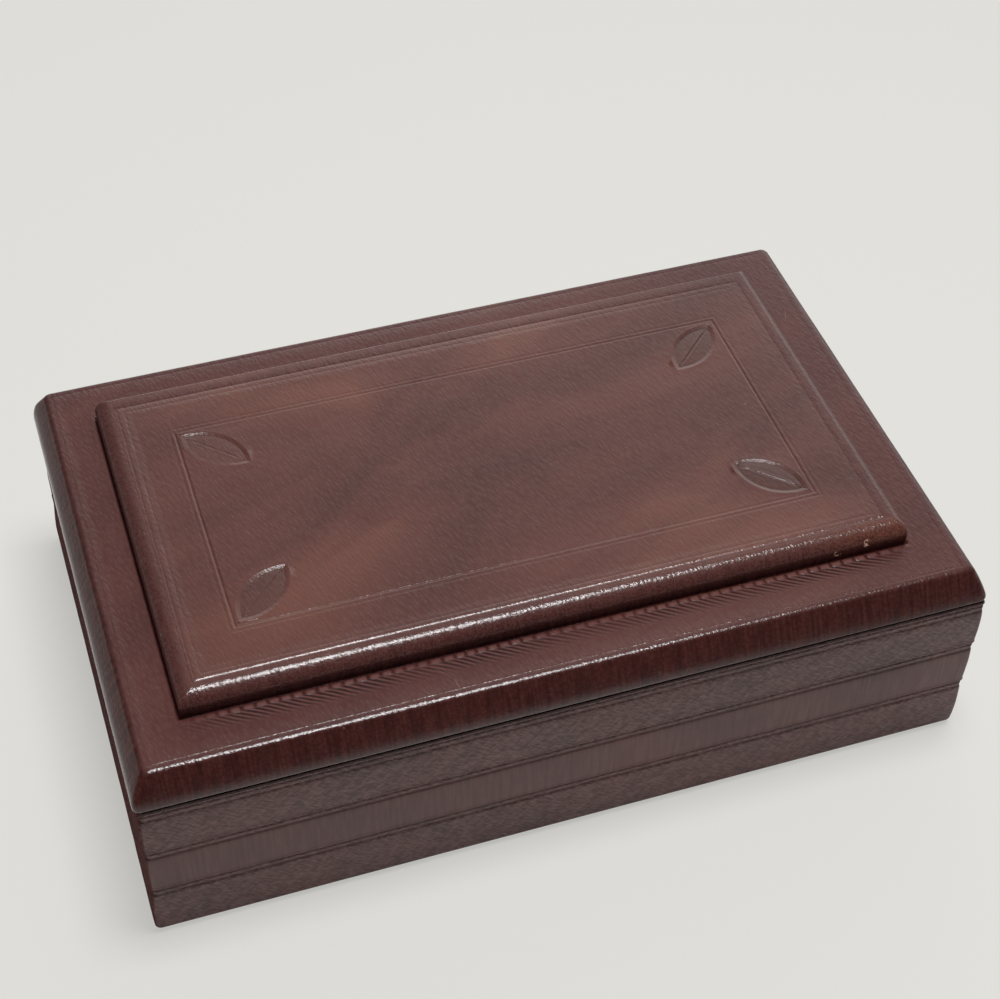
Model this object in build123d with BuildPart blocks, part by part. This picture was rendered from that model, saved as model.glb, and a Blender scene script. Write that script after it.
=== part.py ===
from build123d import *
import os
from math import radians, tan

os.makedirs("parts", exist_ok=True)

# Overall sizes of the closed box. X runs along it, the front is at -Y, the table is at Z = 0.
lid_length = 180.0
lid_width = 116.0
rim_height = 41.2

# The lid steps up twice: a border with a rolled edge, and a raised panel on it.
border_rise = 7.65
border_lean = 26.0
border_roll = 1.8
panel_rise = 5.0
panel_lean = 8.0
panel_roll = 3.4
foot_inset_ends = 12.6
foot_inset_front = 13.8
lid_edge_band = 1.0
lid_edge_roll = 0.8

# The base stands a little inside the lid's outline.
lid_overhang = 0.4
base_corner_radius = 2.4
base_foot_roll = 1.6
rim_roll = 0.9

# Materials: a wooden carcass under leather, felt below, and padded lining inside.
leather = 0.8
wall = 7.0
floor_thickness = 4.0
floor_rebate = 3.0
corner_tongue = 3.0
felt = 0.8
felt_margin = 2.6
side_pad = 1.6
floor_pad = 2.2
lid_pad = 2.3
pad_round = 0.7
pad_below_rim = 1.6
lid_pad_gap = 1.2
fit_gap = 0.1
turn_in_gap = 0.3
same_height = 0.01

# Two butt hinges in a bevelled joint. The bevels meet when the lid is fully open.
lid_seat_gap = 0.1
hinge_inset = 1.8
open_angle = 100.0
base_bevel = 45.4
stop_allowance = 0.4
hinge_spacing = 104.0
leaf_length = 20.0
leaf_margin = 0.6
leaf_thickness = 0.9
leaf_corner = 0.8
middle_knuckle = 6.6
barrel_radius = 1.2
pin_radius = 0.7
pin_clearance = 0.03
pin_end_round = 0.2
knuckle_gap = 0.15
barrel_relief = 0.3
screw_spacing = 12.0
screw_head_radius = 1.3
screw_head_rim = 0.1
screw_head_height = 0.7
screw_shank_radius = 0.65
screw_clearance = 0.03
screw_recess = 0.05
screw_slot_width = 0.35
screw_slot_depth = 0.25
base_screw_length = 7.0
lid_screw_length = 4.2

# Blind tooling: lines pressed in with a wheel, and a leaf stamp inside each corner of the frame.
line_width = 0.5
line_depth = 0.3
pair_spacing = 1.5
rim_pair_drop = 2.45
upper_pair_drop = 14.75
lower_pair_drop = 27.15
wall_line_radius = 0.45
wall_line_stand_off = 0.1
border_line_inset = 4.9
panel_line_inset = 4.4
frame_half_length = 63.4
frame_half_width = 29.8
frame_spacing = 1.1
leaf_stamp_length = 17.0
leaf_stamp_width = 8.4
leaf_stamp_angle = 44.0
leaf_stamp_x = 55.0
leaf_stamp_y = 21.4
leaf_stamp_depth = 0.15
midrib_share = 0.62

# Heights and half sizes that follow from the values above.
lid_underside = rim_height + lid_seat_gap
border_top = lid_underside + border_rise
panel_top = border_top + panel_rise
half_length = lid_length / 2
half_width = lid_width / 2
base_half_length = half_length - lid_overhang
base_half_width = half_width - lid_overhang
wood_half_length = base_half_length - leather
wood_half_width = base_half_width - leather
inner_half_length = wood_half_length - wall
inner_half_width = wood_half_width - wall
wall_bottom = felt + leather
wall_top = rim_height - leather
floor_top = felt + floor_thickness
floor_pad_top = floor_top + floor_pad
side_pad_top = rim_height - pad_below_rim
lid_pad_half_length = inner_half_length - side_pad - lid_pad_gap
lid_pad_half_width = inner_half_width - side_pad - lid_pad_gap
hinge_y = base_half_width - hinge_inset
hinge_z = rim_height + lid_seat_gap / 2
leaf_reach = hinge_y - inner_half_width - leaf_margin
lid_bevel = open_angle + stop_allowance - base_bevel
hinge_places = [-hinge_spacing / 2, hinge_spacing / 2]
screw_y = hinge_y - (barrel_radius + leaf_reach) / 2
screw_places = [(x + dx, screw_y) for x in hinge_places for dx in (-screw_spacing / 2, screw_spacing / 2)]


def rounded_block(half_x, half_y, bottom, top, corner):
    """An upright block with rounded corners in plan."""
    with BuildPart(mode=Mode.PRIVATE) as block:
        with BuildSketch(Plane.XY.offset(bottom)):
            RectangleRounded(2 * half_x, 2 * half_y, corner)
        extrude(amount=top - bottom)
    return block.part


def outermost_corners(section, height):
    """The first and the last corner of a drawn section at one height."""
    level = section.vertices().filter_by_position(Axis.Y, height - same_height, height + same_height)
    return [level.sort_by(Axis.X)[0], level.sort_by(Axis.X)[-1]]


def lid_section(plane, half, foot_inset, skin):
    """The lid's stepped outline across one direction, drawn skin inside the leather's surface."""
    border_run = (border_rise - lid_edge_band) * tan(radians(border_lean))
    panel_run = panel_rise * tan(radians(panel_lean))
    foot = half - foot_inset
    with BuildSketch(plane, mode=Mode.PRIVATE) as section:
        with BuildLine():
            Polyline(
                (0, lid_underside),
                (half, lid_underside),
                (half, lid_underside + lid_edge_band),
                (half - border_run, border_top),
                (foot, border_top),
                (foot - panel_run, panel_top),
                (0, panel_top),
            )
            mirror(about=Plane.YZ)
        make_face()
        if skin > 0:
            offset(amount=-skin, kind=Kind.INTERSECTION)
        fillet(outermost_corners(section, border_top - skin), border_roll - skin)
        fillet(outermost_corners(section, panel_top - skin), panel_roll - skin)
        if lid_edge_roll > skin:
            fillet(outermost_corners(section, lid_underside + skin), lid_edge_roll - skin)
    return section.sketch


def lid_block(skin):
    """The stepped lid: the same section along both directions, so the rolls meet in mitres."""
    with BuildPart(mode=Mode.PRIVATE) as block:
        extrude(lid_section(Plane.YZ, half_width, foot_inset_front, skin), amount=half_length, both=True)
        ends = lid_section(Plane.XZ, half_length, foot_inset_ends, skin)
        extrude(ends, amount=half_width, both=True, mode=Mode.INTERSECT)
    return block.part


def bevel_wedge(angle, direction, growth):
    """The wedge cut away behind the hinge line, above it (+1, lid) or below it (-1, base)."""
    reach = 2 * (hinge_inset + lid_overhang)
    rise = direction * reach * tan(radians(angle))
    with BuildPart(mode=Mode.PRIVATE) as wedge:
        with BuildSketch(Plane.YZ):
            with BuildLine():
                Polyline(
                    (hinge_y, hinge_z),
                    (hinge_y + reach, hinge_z + rise),
                    (hinge_y + reach, hinge_z - direction),
                    (hinge_y, hinge_z - direction),
                    close=True,
                )
            make_face()
            if growth > 0:
                offset(amount=growth, kind=Kind.INTERSECTION)
        extrude(amount=lid_length, both=True)
    return wedge.part


def leaf_gains(direction):
    """The shallow recess for each hinge leaf, and the round one for its barrel."""
    with BuildPart(mode=Mode.PRIVATE) as gains:
        for x in hinge_places:
            with BuildSketch(Plane.XY.offset(hinge_z)):
                with Locations((x, hinge_y - leaf_reach / 2)):
                    Rectangle(leaf_length + 2 * fit_gap, leaf_reach + 2 * fit_gap)
            extrude(amount=direction * (leaf_thickness + lid_seat_gap / 2))
            with BuildSketch(Plane.YZ.offset(x - leaf_length / 2 - barrel_relief)):
                with Locations((hinge_y, hinge_z)):
                    Circle(barrel_radius + barrel_relief)
            extrude(amount=leaf_length + 2 * barrel_relief)
    return gains.part


def countersunk_screw(length, growth):
    """A small countersunk wood screw, head up, with its head's top at the origin."""
    head = screw_head_radius + growth
    shank = screw_shank_radius + growth
    mouth = screw_recess if growth > 0 else 0
    with BuildPart(mode=Mode.PRIVATE) as screw:
        with BuildSketch(Plane.XZ):
            with BuildLine():
                Polyline(
                    (0, mouth),
                    (head, mouth),
                    (head, -screw_head_rim),
                    (shank, -screw_head_height - growth),
                    (shank, -length + 2 * shank),
                    (0, -length - growth),
                    close=True,
                )
            make_face()
        revolve(axis=Axis.Z)
        if growth == 0:
            with BuildSketch(Plane.XY):
                Rectangle(2 * head, screw_slot_width)
            extrude(amount=-screw_slot_depth, mode=Mode.SUBTRACT)
    return screw.part


def placed_screws(length, direction, growth):
    """Two screws for each hinge, driven down into the base or up into the lid."""
    head_z = hinge_z + direction * (lid_seat_gap / 2 + screw_recess)
    turn = (180, 0, 0) if direction > 0 else (0, 0, 0)
    with BuildPart(mode=Mode.PRIVATE) as screws:
        with Locations([(x, y, head_z) for x, y in screw_places]):
            add(countersunk_screw(length, growth), rotation=turn)
    return screws.part


def hinge_leaf(x, direction):
    """One leaf: a flat plate with its knuckles. The base leaf has the outer two, the lid leaf the middle."""
    start = x - leaf_length / 2
    outer = (leaf_length - middle_knuckle) / 2
    outer_spans = [(start, outer - knuckle_gap), (start + outer + middle_knuckle + knuckle_gap, outer - knuckle_gap)]
    middle_span = [(start + outer, middle_knuckle)]
    own = middle_span if direction > 0 else outer_spans
    other = outer_spans if direction > 0 else middle_span
    with BuildPart(mode=Mode.PRIVATE) as leaf:
        with BuildSketch(Plane.XY.offset(hinge_z + direction * lid_seat_gap / 2)) as plate:
            with Locations((x, hinge_y - leaf_reach / 2)):
                Rectangle(leaf_length, leaf_reach)
            fillet(plate.vertices().group_by(Axis.Y)[0], leaf_corner)
        extrude(amount=direction * leaf_thickness)
        for low, span in other:
            with BuildSketch(Plane.YZ.offset(low - 2 * knuckle_gap)):
                with Locations((hinge_y, hinge_z)):
                    Circle(barrel_radius + knuckle_gap)
            extrude(amount=span + 4 * knuckle_gap, mode=Mode.SUBTRACT)
        for low, span in own:
            with BuildSketch(Plane.YZ.offset(low)):
                with Locations((hinge_y, hinge_z)):
                    Circle(barrel_radius)
            extrude(amount=span)
        with BuildSketch(Plane.YZ.offset(start)):
            with Locations((hinge_y, hinge_z)):
                Circle(pin_radius + pin_clearance)
        extrude(amount=leaf_length, mode=Mode.SUBTRACT)
        length = lid_screw_length if direction > 0 else base_screw_length
        add(placed_screws(length, direction, screw_clearance), mode=Mode.SUBTRACT)
    return leaf.part


def hinge_pin(x):
    """The plain brass pin through one hinge's knuckles, with eased ends."""
    with BuildPart(mode=Mode.PRIVATE) as pin:
        with BuildSketch(Plane.YZ.offset(x - leaf_length / 2)):
            with Locations((hinge_y, hinge_z)):
                Circle(pin_radius)
        extrude(amount=leaf_length)
        chamfer(pin.edges().filter_by(GeomType.CIRCLE), pin_end_round)
    return pin.part


def padded_card(half_x, half_y, bottom, thickness, direction):
    """A fabric-covered lining card lying flat, with its show face rounded over at the edges."""
    with BuildPart(mode=Mode.PRIVATE) as card:
        with BuildSketch(Plane.XY.offset(bottom)):
            Rectangle(2 * half_x, 2 * half_y)
        extrude(amount=thickness)
        show_face = card.faces().sort_by(Axis.Z)[-1 if direction > 0 else 0]
        fillet(show_face.edges(), pad_round)
    return card.part


# Shapes that several pieces are cut from or fitted to.
with BuildPart() as base_form:
    add(rounded_block(base_half_length, base_half_width, felt, rim_height, base_corner_radius))
    fillet(base_form.faces().sort_by(Axis.Z)[0].edges(), base_foot_roll)
    fillet(base_form.faces().sort_by(Axis.Z)[-1].edges(), rim_roll)

with BuildPart() as carcass_form:
    add(rounded_block(wood_half_length, wood_half_width, wall_bottom, wall_top, base_corner_radius - leather))
    fillet(carcass_form.faces().sort_by(Axis.Z)[0].edges(), base_foot_roll - leather)
    add(bevel_wedge(base_bevel, -1, leather), mode=Mode.SUBTRACT)

with BuildPart() as floor_space:
    with BuildSketch(Plane.XY.offset(felt)):
        Rectangle(2 * (inner_half_length + floor_rebate), 2 * (inner_half_width + floor_rebate))
    extrude(amount=floor_thickness)

with BuildPart() as wall_lines:
    for drop in (rim_pair_drop, upper_pair_drop, lower_pair_drop):
        for offset_from_pair in (-pair_spacing / 2, pair_spacing / 2):
            height = rim_height - drop + offset_from_pair
            run = base_half_width + wall_line_stand_off
            with BuildSketch(Plane.XY.offset(height)) as round_the_walls:
                RectangleRounded(
                    2 * (base_half_length + wall_line_stand_off),
                    2 * run,
                    base_corner_radius + wall_line_stand_off,
                )
            with BuildSketch(Plane(origin=(0, -run, height), z_dir=(1, 0, 0))) as wheel:
                RegularPolygon(wall_line_radius, 4)
            sweep(sections=wheel.sketch, path=round_the_walls.face().outer_wire())

# Base: four walls of wood, rebated at the corners, round a floor let into their lower edges.
with BuildPart() as front_wall:
    with BuildSketch(Plane.XY.offset(wall_bottom)):
        with BuildLine():
            Polyline(
                (0, -wood_half_width),
                (wood_half_length, -wood_half_width),
                (wood_half_length, -wood_half_width + corner_tongue),
                (inner_half_length, -wood_half_width + corner_tongue),
                (inner_half_length, -inner_half_width),
                (0, -inner_half_width),
            )
            mirror(about=Plane.YZ)
        make_face()
    extrude(amount=wall_top - wall_bottom)
    add(carcass_form.part, mode=Mode.INTERSECT)
    add(floor_space.part, mode=Mode.SUBTRACT)
front_wall.part.label = "front_wall"
export_step(front_wall.part, "parts/front_wall.step")

with BuildPart() as back_wall:
    with BuildSketch(Plane.XY.offset(wall_bottom)):
        with BuildLine():
            Polyline(
                (0, wood_half_width),
                (wood_half_length, wood_half_width),
                (wood_half_length, wood_half_width - corner_tongue),
                (inner_half_length, wood_half_width - corner_tongue),
                (inner_half_length, inner_half_width),
                (0, inner_half_width),
            )
            mirror(about=Plane.YZ)
        make_face()
    extrude(amount=wall_top - wall_bottom)
    add(carcass_form.part, mode=Mode.INTERSECT)
    add(floor_space.part, mode=Mode.SUBTRACT)
    add(leaf_gains(-1), mode=Mode.SUBTRACT)
    add(placed_screws(base_screw_length, -1, screw_clearance), mode=Mode.SUBTRACT)
back_wall.part.label = "back_wall"
export_step(back_wall.part, "parts/back_wall.step")

with BuildPart() as right_wall:
    with BuildSketch(Plane.XY.offset(wall_bottom)):
        with Locations((wood_half_length - wall / 2, 0)):
            Rectangle(wall, 2 * (wood_half_width - corner_tongue))
    extrude(amount=wall_top - wall_bottom)
    add(carcass_form.part, mode=Mode.INTERSECT)
    add(floor_space.part, mode=Mode.SUBTRACT)
right_wall.part.label = "right_wall"
export_step(right_wall.part, "parts/right_wall.step")

with BuildPart() as left_wall:
    mirror(right_wall.part, about=Plane.YZ)
left_wall.part.label = "left_wall"
export_step(left_wall.part, "parts/left_wall.step")

with BuildPart() as floor_board:
    add(floor_space.part)
floor_board.part.label = "floor_board"
export_step(floor_board.part, "parts/floor_board.step")

# One strip of leather covers the walls, turns over the rim, and turns in under the lower edge.
with BuildPart() as wall_leather:
    add(base_form.part)
    add(wall_lines.part, mode=Mode.SUBTRACT)
    add(bevel_wedge(base_bevel, -1, 0), mode=Mode.SUBTRACT)
    add(carcass_form.part, mode=Mode.SUBTRACT)
    add(floor_space.part, mode=Mode.SUBTRACT)
    with BuildSketch(Plane.XY.offset(felt)):
        Rectangle(2 * inner_half_length, 2 * inner_half_width)
    extrude(amount=rim_height - felt, mode=Mode.SUBTRACT)
    add(leaf_gains(-1), mode=Mode.SUBTRACT)
    add(placed_screws(base_screw_length, -1, screw_clearance), mode=Mode.SUBTRACT)
wall_leather.part.label = "wall_leather"
export_step(wall_leather.part, "parts/wall_leather.step")

with BuildPart() as base_felt:
    add(rounded_block(base_half_length - felt_margin, base_half_width - felt_margin, 0, felt, base_corner_radius))
base_felt.part.label = "base_felt"
export_step(base_felt.part, "parts/base_felt.step")

# Padded lining inside: a card on the floor, and four cards standing on it against the walls.
with BuildPart() as floor_lining:
    add(padded_card(inner_half_length - fit_gap, inner_half_width - fit_gap, floor_top, floor_pad, 1))
floor_lining.part.label = "floor_lining"
export_step(floor_lining.part, "parts/floor_lining.step")

with BuildPart() as front_lining:
    with BuildSketch(Plane.XZ.offset(inner_half_width)):
        with Locations((0, (floor_pad_top + side_pad_top) / 2)):
            Rectangle(2 * (inner_half_length - fit_gap), side_pad_top - floor_pad_top)
    extrude(amount=-side_pad)
    fillet(front_lining.edges().filter_by(Axis.X).group_by(Axis.Z)[-1].sort_by(Axis.Y)[-1], pad_round)
front_lining.part.label = "front_lining"
export_step(front_lining.part, "parts/front_lining.step")

with BuildPart() as back_lining:
    mirror(front_lining.part, about=Plane.XZ)
back_lining.part.label = "back_lining"
export_step(back_lining.part, "parts/back_lining.step")

with BuildPart() as left_lining:
    with BuildSketch(Plane.YZ.offset(-inner_half_length)):
        with Locations((0, (floor_pad_top + side_pad_top) / 2)):
            Rectangle(2 * (inner_half_width - side_pad - fit_gap), side_pad_top - floor_pad_top)
    extrude(amount=side_pad)
    fillet(left_lining.edges().filter_by(Axis.Y).group_by(Axis.Z)[-1].sort_by(Axis.X)[-1], pad_round)
left_lining.part.label = "left_lining"
export_step(left_lining.part, "parts/left_lining.step")

with BuildPart() as right_lining:
    mirror(left_lining.part, about=Plane.YZ)
right_lining.part.label = "right_lining"
export_step(right_lining.part, "parts/right_lining.step")

# Lid: a wide board with a smaller board glued on it, both shaped to the rolls of the leather.
with BuildPart() as lid_core:
    add(lid_block(leather))
    add(bevel_wedge(lid_bevel, 1, leather), mode=Mode.SUBTRACT)

with BuildPart() as lid_board:
    add(lid_core.part)
    split(bisect_by=Plane.XY.offset(border_top - leather), keep=Keep.BOTTOM)
    add(leaf_gains(1), mode=Mode.SUBTRACT)
    add(placed_screws(lid_screw_length, 1, screw_clearance), mode=Mode.SUBTRACT)
lid_board.part.label = "lid_board"
export_step(lid_board.part, "parts/lid_board.step")

with BuildPart() as raised_panel:
    add(lid_core.part)
    split(bisect_by=Plane.XY.offset(border_top - leather), keep=Keep.TOP)
raised_panel.part.label = "raised_panel"
export_step(raised_panel.part, "parts/raised_panel.step")

# The lid's tooling is cut this deep below the flat of the border and the panel.
with BuildPart() as lid_tooling:
    with BuildSketch(Plane.XY.offset(border_top)):
        inset = 2 * border_line_inset
        Rectangle(lid_length - inset + line_width, lid_width - inset + line_width)
        Rectangle(lid_length - inset - line_width, lid_width - inset - line_width, mode=Mode.SUBTRACT)
    extrude(amount=-line_depth)
    for step in (0, pair_spacing):
        inset_ends = 2 * (foot_inset_ends + panel_line_inset + step)
        inset_front = 2 * (foot_inset_front + panel_line_inset + step)
        with BuildSketch(Plane.XY.offset(panel_top)):
            Rectangle(lid_length - inset_ends + line_width, lid_width - inset_front + line_width)
            Rectangle(
                lid_length - inset_ends - line_width,
                lid_width - inset_front - line_width,
                mode=Mode.SUBTRACT,
            )
        extrude(amount=-line_depth)
    for step in (0, frame_spacing):
        with BuildSketch(Plane.XY.offset(panel_top)):
            along = 2 * (frame_half_length - step)
            across = 2 * (frame_half_width - step)
            Rectangle(along + line_width, across + line_width)
            Rectangle(along - line_width, across - line_width, mode=Mode.SUBTRACT)
        extrude(amount=-line_depth)

with BuildSketch() as leaf_outline:
    with BuildLine():
        ThreePointArc((-leaf_stamp_length / 2, 0), (0, leaf_stamp_width / 2), (leaf_stamp_length / 2, 0))
        ThreePointArc((-leaf_stamp_length / 2, 0), (0, -leaf_stamp_width / 2), (leaf_stamp_length / 2, 0))
    make_face()

with BuildSketch() as leaf_stamp:
    add(leaf_outline.sketch)
    offset(leaf_outline.sketch, amount=-line_width, kind=Kind.INTERSECTION, mode=Mode.SUBTRACT)
    Rectangle(leaf_stamp_length * midrib_share, line_width)

with BuildPart() as leaf_stamps:
    for side_x in (-1, 1):
        for side_y in (-1, 1):
            turn = side_x * side_y * leaf_stamp_angle
            place = Plane(
                origin=(side_x * leaf_stamp_x, side_y * leaf_stamp_y, panel_top),
                x_dir=Vector(1, 0, 0).rotate(Axis.Z, turn),
                z_dir=(0, 0, 1),
            )
            extrude(place * leaf_outline.sketch, amount=-leaf_stamp_depth)
            extrude(place * leaf_stamp.sketch, amount=-line_depth)

with BuildPart() as lid_leather:
    add(lid_block(0))
    add(bevel_wedge(lid_bevel, 1, 0), mode=Mode.SUBTRACT)
    add(lid_core.part, mode=Mode.SUBTRACT)
    with BuildSketch(Plane.XY.offset(lid_underside)):
        Rectangle(2 * (lid_pad_half_length + turn_in_gap), 2 * (lid_pad_half_width + turn_in_gap))
    extrude(amount=leather, mode=Mode.SUBTRACT)
    add(lid_tooling.part, mode=Mode.SUBTRACT)
    add(leaf_stamps.part, mode=Mode.SUBTRACT)
    add(leaf_gains(1), mode=Mode.SUBTRACT)
    add(placed_screws(lid_screw_length, 1, screw_clearance), mode=Mode.SUBTRACT)
lid_leather.part.label = "lid_leather"
export_step(lid_leather.part, "parts/lid_leather.step")

with BuildPart() as lid_lining:
    add(padded_card(lid_pad_half_length, lid_pad_half_width, lid_underside + leather - lid_pad, lid_pad, -1))
lid_lining.part.label = "lid_lining"
export_step(lid_lining.part, "parts/lid_lining.step")

# Hinges: base leaf, lid leaf and pin for each, with their screws grouped by what they hold.
for side, place_x in zip(("left", "right"), hinge_places):
    for name, piece in (
        (f"{side}_hinge_base_leaf", hinge_leaf(place_x, -1)),
        (f"{side}_hinge_lid_leaf", hinge_leaf(place_x, 1)),
        (f"{side}_hinge_pin", hinge_pin(place_x)),
    ):
        with BuildPart() as hinge_piece:
            add(piece)
        hinge_piece.part.label = name
        export_step(hinge_piece.part, f"parts/{name}.step")

with BuildPart() as base_hinge_screws:
    add(placed_screws(base_screw_length, -1, 0))
base_hinge_screws.part.label = "base_hinge_screws"
export_step(base_hinge_screws.part, "parts/base_hinge_screws.step")

with BuildPart() as lid_hinge_screws:
    add(placed_screws(lid_screw_length, 1, 0))
lid_hinge_screws.part.label = "lid_hinge_screws"
export_step(lid_hinge_screws.part, "parts/lid_hinge_screws.step")
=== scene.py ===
from math import atan2, cos, degrees, exp, pi, radians, sin, sqrt, tan

import bmesh
import bpy
from mathutils import Matrix, Vector


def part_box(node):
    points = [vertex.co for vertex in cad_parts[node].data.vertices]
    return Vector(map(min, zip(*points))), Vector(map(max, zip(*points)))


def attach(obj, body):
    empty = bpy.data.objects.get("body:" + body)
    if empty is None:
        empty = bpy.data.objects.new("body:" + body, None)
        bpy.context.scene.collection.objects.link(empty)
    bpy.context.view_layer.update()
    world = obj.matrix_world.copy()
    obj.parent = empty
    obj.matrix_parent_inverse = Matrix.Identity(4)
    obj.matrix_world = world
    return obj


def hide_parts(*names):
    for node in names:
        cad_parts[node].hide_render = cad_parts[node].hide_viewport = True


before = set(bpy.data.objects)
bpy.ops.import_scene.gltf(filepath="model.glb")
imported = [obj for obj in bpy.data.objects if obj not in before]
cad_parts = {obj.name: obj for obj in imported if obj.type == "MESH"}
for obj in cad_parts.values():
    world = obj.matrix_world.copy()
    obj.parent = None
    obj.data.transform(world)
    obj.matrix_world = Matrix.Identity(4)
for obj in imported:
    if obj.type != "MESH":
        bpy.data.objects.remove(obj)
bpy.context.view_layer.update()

mm = 0.001

# The wooden carcass: front, back and end walls of thin beech, rebated and glued at the corners, round
# a floor board let into their lower edges. It is planed and left bare, because the leather covers it.
# The lid's two boards are the same wood, glued one on the other.


class Value:
    """What comes out of a node. Sums and products of such values make the nodes for them."""

    def __init__(self, nodes, socket):
        self.nodes, self.socket = nodes, socket

    def __add__(self, other):
        return self.nodes.math("ADD", self, other)

    def __sub__(self, other):
        return self.nodes.math("SUBTRACT", self, other)

    def __rsub__(self, other):
        return self.nodes.math("SUBTRACT", other, self)

    def __mul__(self, other):
        return self.nodes.math("MULTIPLY", self, other)

    def __truediv__(self, other):
        return self.nodes.math("DIVIDE", self, other)


class Nodes:
    """Makes the nodes of one tree. Each call gives the value that comes out."""

    def __init__(self, tree):
        self.tree = tree

    def fill(self, node, inputs):
        """Sets inputs of a node, each to a value that is linked or to a plain one."""
        for key, value in inputs.items():
            if isinstance(value, Value):
                self.tree.links.new(value.socket, node.inputs[key])
            else:
                node.inputs[key].default_value = value

    def make(self, kind, inputs=None, out=0, **settings):
        """One node, with its inputs and its settings."""
        node = self.tree.nodes.new(kind)
        for key, value in settings.items():
            setattr(node, key, value)
        self.fill(node, inputs or {})
        return Value(self, node.outputs[out]) if len(node.outputs) else None

    def math(self, operation, *values):
        return self.make("ShaderNodeMath", dict(enumerate(values)), operation=operation)

    def split(self, vector):
        """The three parts of a vector."""
        parts = self.make("ShaderNodeSeparateXYZ", {0: vector}).socket.node.outputs
        return [Value(self, part) for part in parts]

    def noise(self, place, scale, detail=2.0, **more):
        inputs = {"Vector": place, "Scale": scale, "Detail": detail, **more}
        return self.make("ShaderNodeTexNoise", inputs, "Fac")

    def spread(self, value, low, high, first=0.0, last=1.0):
        """Stretches a value between two limits."""
        return self.make("ShaderNodeMapRange", {0: value, 1: low, 2: high, 3: first, 4: last})

    def ramp(self, factor, *stops):
        """A ramp of colours over a factor, from pairs of a place and a colour."""
        colours = self.make("ShaderNodeValToRGB", {"Fac": factor}, "Color")
        elements = colours.socket.node.color_ramp.elements
        while len(elements) < len(stops):
            elements.new(0.5)
        for element, (place, colour) in zip(elements, stops):
            element.position = place
            element.color = (*colour, 1)
        return colours

    def mix(self, factor, one, other, **settings):
        """One value turning into another."""
        return self.make("ShaderNodeMix", {"Factor": factor, "A": one, "B": other}, "Result", **settings)

    def layers(self, colour, *laid):
        """Colours laid over a first one in turn, from pairs of a factor and a colour."""
        for factor, over in laid:
            colour = self.mix(factor, colour, (*over, 1), data_type="RGBA")
        return colour


class Material(Nodes):
    """A material: the nodes of its tree, and its surface shader."""

    def __init__(self, name):
        self.data = bpy.data.materials.new(name)
        self.data.use_nodes = True
        super().__init__(self.data.node_tree)
        self.shader = self.tree.nodes["Principled BSDF"]

    def place(self, turn=(0, 0, 0), scale=(1, 1, 1)):
        """The piece's own coordinates, turned and then stretched."""
        own = self.make("ShaderNodeTexCoord", out="Object")
        turned = self.make("ShaderNodeMapping", {"Vector": own, "Rotation": turn})
        return self.make("ShaderNodeMapping", {"Vector": turned, "Scale": scale})

    def mark(self, name):
        """A mark that the mesh carries at each point."""
        return self.make("ShaderNodeAttribute", out="Fac", attribute_name=name)

    def sideways(self):
        """How far the surface faces +X, from -1 to 1."""
        return self.split(self.make("ShaderNodeTexCoord", out="Normal"))[0]

    def finish(self, inputs, height, distance, strength=1.0):
        """Sets the shader, and raises the surface by a height from 0 to 1 over a distance in metres."""
        bump = self.make("ShaderNodeBump", {"Height": height, "Distance": distance, "Strength": strength})
        self.fill(self.shader, {**inputs, "Normal": bump, "Coat Normal": bump})
        return self.data


def beech(name, grain_turn):
    """Bare beech, its grain along X turned by an angle."""
    wood = Material(name)
    grain = wood.noise(wood.place((0, 0, grain_turn), (9, 160, 160)), 3.0, 6.0, Distortion=0.4)
    flecks = wood.noise(wood.place((0, 0, grain_turn), (300, 1400, 1400)), 1.0)
    rings = wood.ramp(grain, (0.35, (0.47, 0.30, 0.16)), (0.65, (0.60, 0.42, 0.25)))
    flecked = wood.mix(flecks, rings, (0.42, 0.26, 0.14, 1), data_type="RGBA", blend_type="MULTIPLY")
    return wood.finish({"Base Color": flecked, "Roughness": 0.62}, flecks, 0.05 * mm, 0.5)


def finish_node(name, material):
    """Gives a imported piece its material."""
    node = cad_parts[name]
    if not node.material_slots:
        node.data.materials.append(material)
    for place in node.material_slots:
        place.material = material


beech_long = beech("beech_along_x", 0)
beech_cross = beech("beech_along_y", pi / 2)
for board in ("front_wall", "back_wall", "floor_board", "lid_board", "raised_panel"):
    finish_node(board, beech_long)
for board in ("left_wall", "right_wall"):
    finish_node(board, beech_cross)

# The wall leather: one strip of brown calf glued round the walls, turned over the rim and in under the
# lower edge. Three pairs of lines are pressed in with a wheel, and the leather swells between them. It
# is less polished than the lid, and grained with fine slanting creases above and below the middle band.

rim_height = 41.2
base_half_length, base_half_width = 89.6, 57.6
leather = 0.8
felt = 0.8
inner_half_length, inner_half_width = 81.8, 49.8
base_corner = 2.4
foot_roll, rim_roll, wall_foot = 1.9, 0.9, 0.3
wall_corner, lean_right, lean_left = 1.1, 0.65, 0.5
floor_edge_inset = 4.8
hinge_y, hinge_z = 55.8, 41.25
# The back bevels of the wall and of the lid are set a little apart, so that they don't touch when open.
base_bevel, base_bevel_inset, base_bevel_gap = radians(45.4), base_half_width - hinge_y, 0.12
bevel_foot = hinge_z - base_bevel_inset * tan(base_bevel) - base_bevel_gap
wall_pairs = [14.05, 26.45, 38.75]
pair_spacing = 1.5
band_swell = 0.22

columns_x, columns_y = 112, 72
corner_steps = 6


def run(first, last, count):
    """Evenly spaced points from one point to another."""
    return [tuple(a + (b - a) * step / count for a, b in zip(first, last)) for step in range(count + 1)]


def quarter(centre_x, centre_y, radius, start, first_height, last_height):
    """A quarter turn round an upright corner, whose height may change on the way."""
    points = []
    for step in range(corner_steps + 1):
        share = step / corner_steps
        angle = start + share * pi / 2
        height = first_height + share * (last_height - first_height)
        points.append((centre_x + radius * cos(angle), centre_y + radius * sin(angle), height))
    return points


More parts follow.
